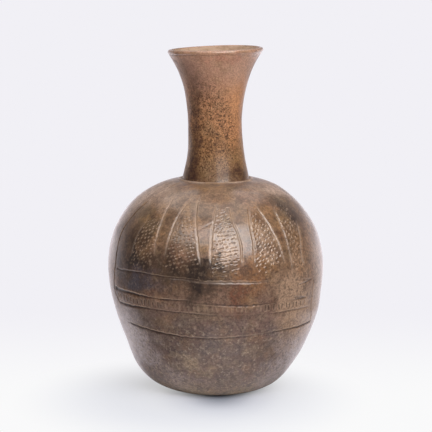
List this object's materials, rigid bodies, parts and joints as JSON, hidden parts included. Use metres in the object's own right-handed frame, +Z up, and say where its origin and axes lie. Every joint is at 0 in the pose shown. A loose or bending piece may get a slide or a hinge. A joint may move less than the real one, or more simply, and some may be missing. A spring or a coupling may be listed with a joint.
{
  "type": "pottery bottle",
  "caption": "Hand-built earthenware bottle with a flat foot, round incised body, waisted neck and flared mouth, for keeping and pouring liquids.",
  "frame": {"origin": "middle of the foot's underside, on the surface that the bottle stands on", "axes": "+Z up along the bottle's axis to the mouth, -Y to the pictured front, and the mouth dips towards -X"},
  "size_m": [0.1902, 0.1902, 0.3035],
  "materials": {
    "foot_clay": "scraped and lightly burnished grey-brown earthenware",
    "body_clay": "burnished brown earthenware with fire clouds",
    "neck_clay": "burnished orange-brown earthenware with soot specks"
  },
  "bodies": {
    "root": {"base_disc": "foot_clay", "heel_ring": "foot_clay", "lower_wall_ring": "body_clay", "belly_ring": "body_clay", "upper_belly_ring": "body_clay", "shoulder_ring": "body_clay", "crown_ring": "body_clay", "neck_foot_ring": "neck_clay", "neck_waist_ring": "neck_clay", "throat_ring": "neck_clay", "mouth_ring": "neck_clay", "lip_coil": "neck_clay"}
  },
  "joints": []
}
